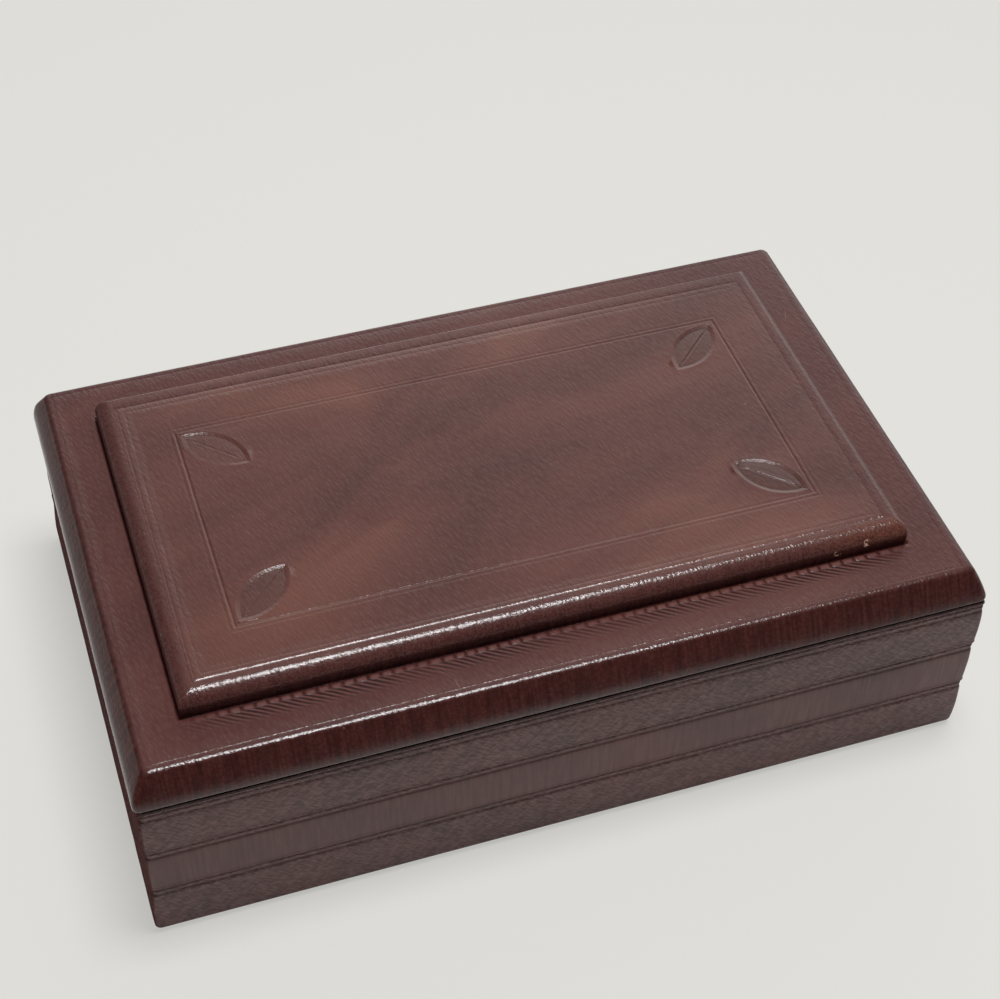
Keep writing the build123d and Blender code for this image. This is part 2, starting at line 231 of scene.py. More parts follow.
def level(reach_x, reach_y, height):
    """The reach and height of the four sides of a loop that is level and true."""
    return [(reach_y, height), (reach_x, height)] * 2


def add_loop(mesh, sides, corner, split=1):
    """A loop of points round the box, from the reach and height of its front, right, back and left."""
    (front, front_height), (right, right_height), (back, back_height), (left, left_height) = sides
    turns = [
        quarter(right - corner, corner - front, corner, -pi / 2, front_height, right_height),
        quarter(right - corner, back - corner, corner, 0, right_height, back_height),
        quarter(corner - left, back - corner, corner, pi / 2, back_height, left_height),
        quarter(corner - left, corner - front, corner, pi, left_height, front_height),
    ]
    spans = []
    counts = (columns_x * split, columns_y, columns_x, columns_y)
    for before, after, count in zip(turns[-1:] + turns[:-1], turns, counts):
        spans += [run(before[-1], after[0], count), after]
    made = [[mesh.verts.new([value * mm for value in point]) for point in span[:-1]] for span in spans]
    for index, span in enumerate(made):
        span.append(made[(index + 1) % len(made)][0])
    return made


def bridge(mesh, first, second):
    """Faces between two loops. A span may be split finer on one of them, or be a single corner point."""
    for one, other in zip(first, second):
        if len(one) == 1 or len(other) == 1:
            for a, b in zip(one, one[1:]):
                mesh.faces.new((a, b, other[0]))
            for a, b in zip(other, other[1:]):
                mesh.faces.new((one[0], b, a))
            continue
        parts = min(len(one), len(other)) - 1
        step, other_step = (len(one) - 1) // parts, (len(other) - 1) // parts
        for part in range(parts):
            near = one[part * step:(part + 1) * step + 1]
            far = other[part * other_step:(part + 1) * other_step + 1]
            mesh.faces.new(near + far[::-1])


def bridge_all(mesh, loops):
    """Faces between each loop and the next."""
    for one, other in zip(loops, loops[1:]):
        bridge(mesh, one, other)


def band(mesh, first, second):
    """Faces between two closed rings of as many points."""
    for index in range(len(first)):
        after = (index + 1) % len(first)
        mesh.faces.new((first[index], first[after], second[after], second[index]))


def fill_grid(mesh, grid, left_out=()):
    """The faces of a grid of points, but for the squares that are left out."""
    for row in range(len(grid) - 1):
        near, far = grid[row], grid[row + 1]
        for column in range(len(near) - 1):
            if (row, column) not in left_out:
                mesh.faces.new((near[column], near[column + 1], far[column + 1], far[column]))


def outline(loop):
    """The points of a loop, each once."""
    return [vertex for span in loop for vertex in span[:-1]]


def quarter_angles(count):
    """Angles that divide a quarter turn, with both its ends."""
    return [radians(90 * step / (count - 1)) for step in range(count)]


def bell(value, middle, width):
    """A bell-shaped curve, 1 in its middle."""
    return exp(-(((value - middle) / width) ** 2))


def pressed_line(across, depth, width, lip):
    """The height of a line pressed in with a wheel, across it, with the leather raised beside it."""
    return lip * bell(abs(across), 1.05 * width, 0.42 * width) - depth * bell(across, 0, 0.48 * width)


def smooth(low, high, value):
    """Rises from 0 to 1 between two limits."""
    share = min(1.0, max(0.0, (value - low) / (high - low)))
    return share * share * (3 - 2 * share)


def wall_swell(height):
    """How far the wall leather stands out at a height: swollen bands between pairs of pressed lines."""
    edges = [felt + foot_roll, *wall_pairs]
    out = 0.0
    for low, high in zip(edges, edges[1:]):
        if low < height < high:
            out += band_swell * sin(pi * (height - low) / (high - low)) ** 0.6
    for pair in wall_pairs:
        above = height - pair
        out += pressed_line(above - pair_spacing / 2, 0.26, 0.52, 0.0)
        out += pressed_line(above + pair_spacing / 2, 0.28, 0.74, 0.0)
        out += 0.12 * bell(above, 1.45, 0.26)
    return out


def wall_loop(inset, height, corner):
    """A loop of the wall leather's outer face. On the back it stops at a bevel up to the hinge line."""
    back_inset, back_height = inset, height
    if height > bevel_foot:
        share = (height - bevel_foot) / (rim_height - bevel_foot)
        back_inset, back_height = share * base_bevel_inset, bevel_foot + share * (rim_height - bevel_foot)
    if inset > base_bevel_inset:
        back_inset = max(back_inset, inset)
    sides = [
        (base_half_width - inset, height),
        (base_half_length - inset + lean_right * smooth(8, 34, height), height),
        (base_half_width - back_inset, back_height),
        (base_half_length - inset - lean_left * smooth(3, 14, height), height),
    ]
    loop = add_loop(wall_mesh, sides, corner)
    for vertex in outline(loop):
        on_bevel = height > bevel_foot - 0.7 and vertex.co.y > (hinge_y - 0.5) * mm
        vertex[wall_shown] = 0.0 if on_bevel else smooth(1.0, 3.0, height)
    return loop


# The outer face, its loops close together at the pressed lines.
wall_mesh = bmesh.new()
wall_shown = wall_mesh.verts.layers.float.new("shown")
loops = [wall_loop(floor_edge_inset, felt, 0.4), wall_loop(2.7, felt, 0.4)]
for angle in quarter_angles(8):
    height = wall_foot + foot_roll * (1 - cos(angle))
    loops.append(wall_loop(foot_roll * (1 - sin(angle)), height, wall_corner))
height = wall_foot + foot_roll + 0.3
while height < rim_height - rim_roll - 0.05:
    loops.append(wall_loop(-wall_swell(height), height, wall_corner))
    nearest = min(abs(height - pair) for pair in wall_pairs)
    height += 0.13 if nearest < 2.0 else 0.9
for angle in quarter_angles(6):
    height = rim_height - rim_roll * (1 - sin(angle))
    loops.append(wall_loop(rim_roll * (1 - cos(angle)), height, wall_corner))

# The inner face, against the wood: over the rim, down the outside of the carcass and in under it.
wood_top, under = rim_height - leather, felt + leather
bevel_slope, bevel_drop = tan(base_bevel), leather / cos(base_bevel)
wood_bevel_y = hinge_y + (hinge_z - wood_top - bevel_drop) / bevel_slope
wood_bevel_foot = hinge_z - bevel_drop - (base_half_width - leather - hinge_y) * bevel_slope
wood_x, wood_y = base_half_length - leather, base_half_width - leather
edge_x, edge_y = base_half_length - floor_edge_inset, base_half_width - floor_edge_inset
bevelled_top = level(wood_x, wood_y, wood_top)
bevelled_top[2] = wood_bevel_y, wood_top
for sides, corner in (
    (level(inner_half_length, inner_half_width, rim_height), 0.2),
    (level(inner_half_length, inner_half_width, wood_top), 0.2),
    (bevelled_top, 1.2),
    (level(wood_x, wood_y, wood_bevel_foot), 1.6),
    (level(wood_x, wood_y, 2.4), 1.6),
    (level(wood_x - 0.8, wood_y - 0.8, under), 0.8),
    (level(edge_x, edge_y, under), 0.4),
):
    loops.append(add_loop(wall_mesh, sides, corner))
bridge_all(wall_mesh, loops + loops[:1])


def put_in_scene(name, data):
    """An object at the origin that holds a mesh, a lamp or a camera."""
    made = bpy.data.objects.new(name, data)
    bpy.context.scene.collection.objects.link(made)
    return made


def mesh_object(name, mesh):
    """Turns a finished mesh into an object."""
    data = bpy.data.meshes.new(name)
    mesh.to_mesh(data)
    mesh.free()
    return put_in_scene(name, data)


def make_piece(name, mesh, material):
    """Turns a finished mesh into a smooth-shaded piece."""
    bmesh.ops.remove_doubles(mesh, verts=mesh.verts, dist=0.002 * mm)
    piece = mesh_object(name, mesh)
    piece.data.shade_smooth()
    piece.data.materials.append(material)
    return piece


def apply_modifiers(piece):
    """Makes a piece's modifiers final and takes them off."""
    view = bpy.context.evaluated_depsgraph_get()
    data = bpy.data.meshes.new_from_object(piece.evaluated_get(view))
    piece.modifiers.clear()
    piece.data = data


def cut_hinge_seats(piece, direction):
    """Cuts a recess for each hinge leaf and its barrel, in the base (-1) or in the lid (+1)."""
    leaf_back, leaf_depth, barrel, half_run, past = 50.2, 0.95, 1.5, 10.2, 0.8
    hinge_x, steps = 52.0, 10
    start = atan2(leaf_depth, -sqrt(barrel ** 2 - leaf_depth ** 2))
    section = [(leaf_back, -past), (leaf_back, leaf_depth)]
    for step in range(steps + 1):
        angle = start * (1 - step / steps)
        section.append((hinge_y + barrel * cos(angle), barrel * sin(angle)))
    section.append((hinge_y + barrel, -past))
    cutter_mesh = bmesh.new()
    for middle in (-hinge_x, hinge_x):
        ends = []
        for x in (middle - half_run, middle + half_run):
            points = [(x * mm, y * mm, (hinge_z + direction * depth) * mm) for y, depth in section]
            ends.append([cutter_mesh.verts.new(point) for point in points])
        band(cutter_mesh, *ends)
        for end in ends:
            cutter_mesh.faces.new(end)
    bmesh.ops.recalc_face_normals(cutter_mesh, faces=cutter_mesh.faces)
    cutter = mesh_object("hinge_seat_cutter", cutter_mesh)
    cut = piece.modifiers.new("hinge_seats", "BOOLEAN")
    cut.object = cutter
    cut.operation = "DIFFERENCE"
    cut.solver = "EXACT"
    apply_modifiers(piece)
    bpy.data.objects.remove(cutter)


calf = Material("wall_calf")
place = calf.place()
up_the_wall = calf.split(place)[2]


def slanting_creases(slant, pitch):
    """The height of fine creases that slant across the wall one way, broken up along their length."""
    across = 1 / (pitch * mm)
    turned = calf.place((0, slant, 0), (across, across, 0.28 * across))
    return calf.spread(calf.noise(turned, 1.0, 1.5, Distortion=0.5), 0.35, 0.65)


in_band = calf.math("COMPARE", up_the_wall, 20.2 * mm, 5.6 * mm)
hatch = slanting_creases(radians(52), 0.55) * 0.6 + slanting_creases(radians(-48), 0.7) * 0.4
upright = calf.noise(calf.place(scale=(1300, 1300, 90)), 1.0)
grain = calf.mix(in_band, hatch, calf.spread(upright, -0.3, 1.3))
fine = calf.noise(place, 2600, 3.0)
# Painted highlight: a thin line of pale dashes just under the rim, where its edge catches the light.
painted_rim_glint = calf.spread(fine, 0.46, 0.54) * calf.math("COMPARE", up_the_wall, 40.05 * mm, 0.13 * mm)
# Painted shade: the wall is painted near black in the gap under the lid's edge, and is matt there.
painted_gap_shade = calf.spread(up_the_wall, 40.3 * mm, 40.8 * mm)
dull, warm, shade = (0.150, 0.073, 0.070), (0.170, 0.074, 0.068), (0.120, 0.058, 0.056)
clouds = calf.ramp(calf.noise(place, 45, 4, Roughness=0.55), (0.32, shade), (0.5, dull), (0.68, warm))
colour = calf.layers(
    clouds,
    # Painted shade in the hollows of the fine creases, and painted light on their crests.
    (calf.spread(grain, 0.15, 0.55, 0.55, 0.0), (0.040, 0.023, 0.021)),
    (calf.spread(grain, 0.5, 0.95, 0.0, 0.6), (0.225, 0.145, 0.135)),
    # Painted shade: a darker band from just below the rim up to it, under the lid's overhang.
    (calf.spread(up_the_wall, 39.3 * mm, 39.8 * mm, 0.0, 0.6), (0.075, 0.028, 0.029)),
    (painted_rim_glint * 0.6, (0.42, 0.33, 0.31)),
    (painted_gap_shade, (0.008, 0.004, 0.0035)),
)
matt = calf.math("MAXIMUM", painted_gap_shade, calf.spread(calf.sideways(), -0.4, -0.7))
calf.finish(
    {
        "Base Color": colour,
        "Roughness": 0.5,
        "Specular IOR Level": calf.spread(matt, 0.0, 1.0, 0.4, 0.0),
        "Coat Weight": calf.spread(matt, 0.0, 1.0, 0.12, 0.0),
        "Coat Roughness": 0.3,
    },
    grain + fine * 0.5,
    0.16 * mm,
)


def press_leather_tree():
    """Moves the leather's points: slanting puckers along a foot line in front, and slight unevenness."""
    group = bpy.data.node_groups.new("worked_leather", "GeometryNodeTree")
    group.interface.new_socket("Geometry", in_out="INPUT", socket_type="NodeSocketGeometry")
    sockets = {}
    for name in (*worked_values, "leather"):
        kind = "NodeSocketMaterial" if name == "leather" else "NodeSocketFloat"
        sockets[name] = group.interface.new_socket(name, in_out="INPUT", socket_type=kind)
    group.interface.new_socket("Geometry", in_out="OUTPUT", socket_type="NodeSocketGeometry")
    nodes = Nodes(group)
    given = {socket.name: Value(nodes, socket) for socket in group.nodes.new("NodeGroupInput").outputs}
    depth, reach = given["pucker_depth"], given["pucker_reach"]

    def fade(value, start, end, first, last):
        inputs = {"Value": value, "From Min": start, "From Max": end, "To Min": first, "To Max": last}
        return nodes.make("ShaderNodeMapRange", inputs, interpolation_type="SMOOTHSTEP")

    def creases(phase, sharpness):
        return nodes.math("POWER", nodes.math("COSINE", phase * (2 * pi)) * 0.5 + 0.5, sharpness)

    position = nodes.make("GeometryNodeInputPosition")
    x, y, _ = nodes.split(position)
    away = y * -1.0 - given["foot_line"]
    seeded = nodes.make("ShaderNodeCombineXYZ", {0: given["seed"], 1: given["seed"]})
    moved = nodes.make("ShaderNodeVectorMath", {0: position, 1: seeded}, operation="ADD")

    # Along the foot itself the leather is gathered into small pads; ridges lean away from them. The
    # material draws the ridges too, finer than the mesh holds them, from the turns stored here, and
    # paints shade in the hollows and light on the pads and ridges.
    lean = (away - 1.0 * mm) * 1.43 * fade(away, 0.7 * mm, 1.7 * mm, 0.0, 1.0)
    swept = x - (away * 0.12 + lean)
    phase = nodes.noise(moved, 50.0, 1.0) * 2.0 + swept / given["pucker_pitch"]
    ends = fade(nodes.math("ABSOLUTE", x), 66 * mm, 80 * mm, 1.0, 0.0)
    strength = ends * fade(nodes.noise(moved, 45.0, 1.0), 0.3, 0.6, 0.6, 1.0)
    turns = phase * 1.4
    ridged = fade(away, 1.0 * mm, 1.6 * mm, 0.0, 1.0) * fade(away, reach * 0.5, reach, 1.0, 0.0)
    ridges = creases(turns, 0.8) * ridged
    gathers = creases(phase, 9.0) * fade(away, 1.1 * mm, 2.2 * mm, 1.0, 0.0)
    gathers = gathers * fade(away, -0.1 * mm, 0.2 * mm, 0.0, 1.0)
    hollows = nodes.math("MAXIMUM", ridges * 0.3, gathers) * strength
    pads = fade(away, 0.25 * mm, 0.5 * mm, 0.0, 1.0) * fade(away, 0.9 * mm, 1.5 * mm, 1.0, 0.0)
    pads = pads * strength * (1.0 - creases(phase, 2.0))

    pressed = (pads * 0.2 - hollows) * depth
    uneven = (nodes.noise(moved, 85.0, 1.0) - 0.5) * given["unevenness"]
    rippled = (nodes.noise(moved, 260.0, 1.0) - 0.5) * given["ripple"]
    mark = {"Name": "shown"}
    visible = nodes.make("GeometryNodeInputNamedAttribute", mark, "Attribute", data_type="FLOAT")
    lift = (pressed + uneven + rippled) * visible
    normal = nodes.make("GeometryNodeInputNormal")
    offset = nodes.make("ShaderNodeVectorMath", {0: normal, "Scale": lift}, operation="SCALE")
    share = visible * (depth / (0.10 * mm))
    crease = (gathers * strength - pads) * share
    stored = {"crease": crease, "ridged": ridged * strength * share, "turns": turns}
    captured = nodes.make("GeometryNodeCaptureAttribute", {"Geometry": given["Geometry"]}).socket.node
    for name, value in stored.items():
        captured.capture_items.new("FLOAT", name)
        nodes.fill(captured, {name: value})
    geometry = Value(nodes, captured.outputs["Geometry"])
    geometry = nodes.make("GeometryNodeSetPosition", {"Geometry": geometry, "Offset": offset})
    geometry = nodes.make("GeometryNodeRealizeInstances", {"Geometry": geometry})
    for name in stored:
        inputs = {"Geometry": geometry, "Name": name, "Value": Value(nodes, captured.outputs[name])}
        geometry = nodes.make("GeometryNodeStoreNamedAttribute", inputs, data_type="FLOAT", domain="POINT")
    geometry = nodes.make("GeometryNodeSetMaterial", {"Geometry": geometry, "Material": given["leather"]})
    nodes.make("NodeGroupOutput", {"Geometry": geometry})
    return group, sockets


worked_values = {
    "pucker_pitch": 2.5 * mm,
    "pucker_depth": 0.0,
    "pucker_reach": 5.0 * mm,
    "foot_line": 0.0,
    "unevenness": 0.0,
    "ripple": 0.0,
    "seed": 0.0,
}
worked, worked_sockets = press_leather_tree()


def work_leather(piece, **changed):
    """Presses a piece of leather through the tree, and makes the result final."""
    press = piece.modifiers.new("worked_leather", "NODES")
    press.node_group = worked
    for name, value in {**worked_values, "leather": piece.data.materials[0], **changed}.items():
        press[worked_sockets[name].identifier] = value
    apply_modifiers(piece)


wall_leather = make_piece("wall_leather_skin", wall_mesh, calf.data)
cut_hinge_seats(wall_leather, -1)
work_leather(wall_leather, seed=7.0, unevenness=0.16 * mm, ripple=0.10 * mm)
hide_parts("wall_leather")
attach(wall_leather, "base")

# The base felt: a thin piece of dark green baize glued under the box, cut by hand a little inside its
# edge. The cut edge is soft, and wanders slightly.

felt_margin = 2.6


def green_baize():
    """Felted wool: matt, with a soft nap of short fibres."""
    wool = Material("green_baize")
    nap = wool.noise(wool.place(), 1800, 5.0, Roughness=0.7)
    colour = wool.ramp(nap, (0.3, (0.014, 0.048, 0.027)), (0.7, (0.040, 0.115, 0.065)))
    return wool.finish({"Base Color": colour, "Roughness": 0.95, "Sheen Weight": 0.4}, nap, 0.2 * mm, 0.8)


felt_mesh = bmesh.new()
felt_loops = []
for inset, height in ((0.35, 0.0), (0.1, 0.06), (0.0, 0.25), (0.0, 0.5), (0.06, 0.72), (0.25, 0.79)):
    reach_x, reach_y = base_half_length - felt_margin - inset, base_half_width - felt_margin - inset
    felt_loops.append(add_loop(felt_mesh, level(reach_x, reach_y, height), base_corner))
bridge_all(felt_mesh, felt_loops)
for vertex in felt_mesh.verts:
    x, y, _ = vertex.co
    wander = sin(x * 310) * sin(y * 270 + 1) + 0.5 * sin(x * 911 + y * 703)
    vertex.co.xy *= 1 - 0.0006 * (1 + wander)
felt_mesh.faces.new(outline(felt_loops[0])[::-1])
felt_mesh.faces.new(outline(felt_loops[-1]))
felt_piece = make_piece("base_felt_sheet", felt_mesh, green_baize())
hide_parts("base_felt")
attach(felt_piece, "base")

# The lining cards: stiff card padded with wadding and covered in wine-red velvet, its edges turned
# round the back and glued. One lies on the floor, four stand on it against the walls, and one is
# glued under the lid. Each is plump in the middle and drawn in along its edges.

velvet_rows = 36


def wine_velvet():
    """Cotton velvet, dark along the view and pale at a glance, with a soft, brushed pile."""
    pile = Material("wine_velvet")
    place = pile.place()
    brushed = pile.noise(place, 60, 3.0, Distortion=0.6)
    look = {
        "Base Color": pile.ramp(brushed, (0.38, (0.150, 0.012, 0.020)), (0.62, (0.235, 0.026, 0.038))),
        "Roughness": 0.85,
        "Sheen Weight": 0.8,
        "Sheen Roughness": 0.35,
        "Sheen Tint": (0.9, 0.35, 0.38, 1),
    }
    return pile.finish(look, pile.noise(place, 3600), 0.12 * mm, 0.7)


def velvet_card(name, low, high, face_axis, face_sign, material):
    """A padded card that fills a box, with its show face towards one side of the box."""
    along, across = [axis for axis in (0, 1, 2) if axis != face_axis]
    size = [h - l for l, h in zip(low, high)]
    thickness = size[face_axis]
    half_u, half_v = size[along] / 2, size[across] / 2
    columns = max(8, round(velvet_rows * half_u / max(half_u, half_v)) * 2)
    rows = max(8, round(velvet_rows * half_v / max(half_u, half_v)) * 2)
    edge, tuck = 1.5 * thickness, 0.35 * thickness
    mesh = bmesh.new()

    def place(u, v, w):
        spot = [0.0, 0.0, 0.0]
        spot[along] = (low[along] + high[along]) / 2 + u
        spot[across] = (low[across] + high[across]) / 2 + v
        spot[face_axis] = low[face_axis] + w if face_sign > 0 else high[face_axis] - w
        return spot

    def rounded(share, half):
        """Rises from 0 at an edge along a quarter circle."""
        return sqrt(1 - (1 - min(1.0, (1 - abs(share)) * half / edge)) ** 2)

    def padded_height(s, t):
        rounding = rounded(s, half_u) * rounded(t, half_v)
        crown = (1 - s * s) ** 0.5 * (1 - t * t) ** 0.5
        creases = 0.03 * sin(9 * s + 4 * t) * sin(5 * t - 3 * s) * crown
        return thickness * (0.25 + 0.62 * rounding + 0.13 * crown + creases * rounding)

    def eased(steps):
        """Shares from -1 to 1 that crowd towards both ends."""
        shares = [2 * step / steps - 1 for step in range(steps + 1)]
        return [sin(share * pi / 2) * 0.75 + share * 0.25 for share in shares]

    grid = []
    for t in eased(rows):
        grid.append([])
        for s in eased(columns):
            u = s * half_u * (1 - tuck / half_u * (1 - t * t) * s * s)
            v = t * half_v * (1 - tuck / half_v * (1 - s * s) * t * t)
            grid[-1].append(mesh.verts.new(place(u, v, padded_height(s, t))))
    fill_grid(mesh, grid)
    rim = grid[0][:-1] + [line[-1] for line in grid[:-1]]
    rim += grid[-1][:0:-1] + [line[0] for line in grid[:0:-1]]
    back = []
    for vertex in rim:
        flat = vertex.co.copy()
        flat[face_axis] = place(0, 0, 0.02 * thickness)[face_axis]
        back.append(mesh.verts.new(flat))
    band(mesh, rim[::-1], back[::-1])
    mesh.faces.new(back)
    bmesh.ops.recalc_face_normals(mesh, faces=mesh.faces)
    card = make_piece(name, mesh, material)
    return card


velvet = wine_velvet()
for node, axis, sign, body in (
    ("floor_lining", 2, 1, "base"),
    ("front_lining", 1, 1, "base"),
    ("back_lining", 1, -1, "base"),
    ("left_lining", 0, 1, "base"),
    ("right_lining", 0, -1, "base"),
    ("lid_lining", 2, -1, "lid"),
):
    card = velvet_card(node + "_velvet", *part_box(node), axis, sign, velvet)
    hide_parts(node)
    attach(card, body)

# The lid leather: one piece of red-brown calf drawn over both steps of the lid and mitred at the
# corners, then turned in underneath. Lines, a double frame and four leaf stamps are pressed in blind.
# It is polished hard, and it puckers in slanting creases where it is worked into the panel's foot.

lid_half_length, lid_half_width = 90.0, 58.0
lid_underside, border_top, panel_top = 41.3, 48.95, 53.95
edge_band, edge_roll = 1.0, 0.7
border_run, face_bulge = 3.243, 0.10
foot_ends, foot_front = 12.6, 13.8
more = foot_front - foot_ends
turn_in = 10.7
lid_bevel, lid_bevel_inset, lid_bevel_gap = radians(55.0), lid_half_width - hinge_y, 0.08
border_line = 4.85
panel_lines = foot_ends + 4.5, foot_ends + 6.0
frame_half_length, frame_half_width, frame_spacing = 63.4, 29.8, 1.1
line_width = 0.5
line_samples = [-0.9, -0.62, -0.46, -0.34, -0.23, -0.12, 0, 0.12, 0.26, 0.42, 0.6, 0.78, 0.95]
fine_split = 5

lid_mesh = bmesh.new()
marked = ("shown", "worked_and_line_shade", "seam", "shine", "stamp")
shown, worked_and_line_shade, seam, shine, stamp = [lid_mesh.verts.layers.float.new(name) for name in marked]
lid_loops = []


def add_lid_loop(points, corner, extra=0.0, split=1, marks=(1, 0, 0, 0)):
    """The lid's next loop, from (inset, height) of all its sides, or of front, right, back and left."""
    if not isinstance(points, list):
        points = [points] * 4
    sides = []
    for side, (inset, height) in enumerate(points):
        sides.append((lid_half_length - inset if side % 2 else lid_half_width - inset - extra, height))
    lid_loops.append(add_loop(lid_mesh, sides, corner, split))
    for vertex in outline(lid_loops[-1]):
        vertex[shown], vertex[worked_and_line_shade], vertex[seam], vertex[shine] = marks


# The inner face, against the wood, from the middle outwards.
wood_under, wood_border, wood_panel = lid_underside + leather, border_top - leather, panel_top - leather
wood_edge, rising, rising_back = (leather, wood_under), (1.5, wood_under + 1.2), (2.1, wood_under + 1.6)
over_bevel = wood_under - hinge_z - leather / cos(lid_bevel)
wood_bevel = lid_bevel_inset - over_bevel / tan(lid_bevel), wood_under
for points, extra in (
    ((foot_ends + 6.0, wood_panel), more),
    ((foot_ends + 3.9, wood_panel), more),
    ((foot_ends + 2.0, wood_panel - 1.0), more),
    ((foot_ends + 1.5, wood_border), more),
    ((border_run + 2.0, wood_border), 0),
    ((border_run + 0.9, wood_border - 0.7), 0),
    ([rising, rising, rising_back, rising], 0),
    ([wood_edge, wood_edge, wood_bevel, wood_edge], 0),
    ((turn_in, wood_under), 0),
):
    add_lid_loop(points, 0.5, extra, marks=(0, 0, 0, 0))
lid_mesh.faces.new(outline(lid_loops[0])[::-1])

# The outer face: in under the lid, round its lower edge and up the leaning face to the rolled crest.
# The box was made by eye: each side has its own lean and its own roll, and the foot is not quite true.
# At the back, a bevel takes the place of the lower edge, from the hinge line up to the leaning face.
add_lid_loop((turn_in, lid_underside), 0.4, marks=(0, 0, 0, 0))
edge_points, curve_points, face_points, crest_points = 7, 5, 6, 16


def border_side(foot, crest, top_roll, roll, curve):
    """One side's profile, (inset, height): upright at its foot, and rolled ever tighter from the top."""
    lean = atan2(crest - foot, border_top - lid_underside - edge_band)
    points = []
    for angle in quarter_angles(edge_points):
        points.append((foot + edge_roll * (1 - sin(angle)), lid_underside + edge_roll * (1 - cos(angle))))
    for step in range(1, curve_points + 1):
        angle = lean * step / curve_points
        points.append((foot + curve * (1 - cos(angle)), lid_underside + edge_roll + curve * sin(angle)))
    rolled = [(0.0, 0.0)]
    for step in range(1, crest_points):
        turn = (pi / 2 - lean) * ((step - 0.5) / (crest_points - 1))
        radius = top_roll + (roll - top_roll) * smooth(radians(22), radians(34), turn)
        length = radius * (pi / 2 - lean) / (crest_points - 1)
        rolled.append((rolled[-1][0] + length * cos(turn), rolled[-1][1] + length * sin(turn)))
    out, down = rolled[-1]
    start_inset, start_height = points[-1]
    end_inset, end_height = crest - down * tan(lean), border_top - down
    for step in range(1, face_points + 1):
        share = step / (face_points + 1)
        bulge = face_bulge * 4 * share * (1 - share)
        inset = start_inset + share * (end_inset - start_inset) - bulge * cos(lean)
        points.append((inset, start_height + share * (end_height - start_height) + bulge * sin(lean)))
    for along, fall in rolled[::-1]:
        points.append((end_inset + out - along, border_top - fall))
    return points


front_side = border_side(0.0, border_run, 2.7, 0.9, 4.2)
right_side = border_side(-0.15, 2.45, 2.6, 2.2, 3.0)
back_side = border_side(0.0, border_run, 1.2, 1.2, 2.0)
left_side = border_side(0.15, border_run, 1.7, 1.7, 5.5)
bevel_run = lid_bevel_inset - 0.6
bevel_top = hinge_z + bevel_run * tan(lid_bevel)
bevelled = len([height for inset, height in back_side if height < bevel_top + 0.2])
for index in range(bevelled):
    share = index / bevelled
    height = lid_underside + lid_bevel_gap + share * (bevel_top - lid_underside)
    back_side[index] = lid_bevel_inset - share * bevel_run, height
before_crest = len(front_side) - crest_points
for index, points in enumerate(zip(front_side, right_side, back_side, left_side)):
    rolled = max(0.0, (index - before_crest) / (crest_points - 1))
    crest_light = bell(rolled, 0.72, 0.2)
    foot_light = 1 - smooth(0.4, 3.6, points[0][1] - lid_underside)
    marks = min(1, index / 6), 1 - rolled ** 3, crest_light, max(crest_light, foot_light)
    add_lid_loop(list(points), 1.5 - 0.5 * rolled, marks=marks)


def tooled_line(across, depth, far=0.5):
    """The height of a line, steep on its near side and gently sloped on its far side to catch light."""
    if across < 0:
        return -depth * bell(across, 0, 0.2)
    return -depth * max(0.0, 1 - across / far) ** 1.15


def frame_line(across, depth):
    """The height of a line of the frame, with a slight lip on both sides."""
    return pressed_line(across, depth, line_width, 0.08 * depth)


def across_lines(lines, depths, profile):
    """Insets across lines in the panel, each with the points there of front, right, back and left."""
    for inset in sorted(line + across for line in lines for across in line_samples):
        from_lines = [inset - line for line in lines]
        yield inset, [(inset, panel_top + sum(map(profile, from_lines, side))) for side in zip(*depths)]


# The border: its tooled line, then the fine rows that the puckers need, and the deep foot of the panel.
border_depths = 0.065, 0.0, 0.02, 0.05
for across in line_samples:
    inset = border_line + across
    if inset > border_run + 1.30:
        points = [(inset, border_top + tooled_line(across, depth, 0.3)) for depth in border_depths]
        # Painted shade: the near side of the line is marked to be painted darker.
        near = 0.6 * smooth(0.1, -0.25, across)
        add_lid_loop(points, 0.3, marks=(1, near, 0.5 * (1 - near), 0.6 * (1 - near)))
pucker_start, pucker_rows, foot_rim = 6.9, 31, 0.02
for row in range(pucker_rows + 1):
    inset = pucker_start + row / pucker_rows * (foot_ends - 0.1 - pucker_start)
    near_foot = bell(inset, foot_ends - 0.8, 0.5)
    height = border_top + foot_rim * near_foot
    add_lid_loop((inset, height), 0.3, more, fine_split, (1, 0, 0.4 * near_foot, 0))
for reach, height in (
    (0.06, -0.14), (0.16, -0.32), (0.3, -0.42), (0.42, -0.36), (0.48, -0.15), (0.47, 0.2), (0.42, 0.6)
):
    add_lid_loop((foot_ends + reach, border_top + height), 0.5, more, marks=(1, 1, 0, 0))

# The raised panel: its edge, rolled more in front than behind, then the two lines and the double frame.
panel_rolls = [(3.9, 0.3, 3.0), (2.7, 0.4, 2.5), (1.7, 0.5, 1.9), (3.9, 0.3, 3.0)]
for angle in quarter_angles(15):
    points = []
    for crest, side, drop in panel_rolls:
        inset = foot_ends + crest - (crest - side) * cos(angle)
        points.append((inset, panel_top - drop * (1 - sin(angle))))
    turned = max(0.0, cos(angle)) ** 0.5
    crest_light = bell(degrees(angle), 74, 12)
    add_lid_loop(points, 0.5, more, marks=(1, turned, 1.2 * crest_light, crest_light))
panel_depths = [(0.15, 0.02, 0.05, 0.08), (0.04, 0.0, 0.03, 0.03)]
for inset, points in across_lines(panel_lines, panel_depths, tooled_line):
    if inset > foot_ends + panel_rolls[0][0] + 0.06:
        # Painted shade: the near side of the line is marked to be painted darker.
        near = 0.8 * smooth(0.1, -0.25, inset - panel_lines[0])
        add_lid_loop(points, 0.25, more, marks=(1, near, 0.4 * (1 - near), 0.6 * (1 - near)))
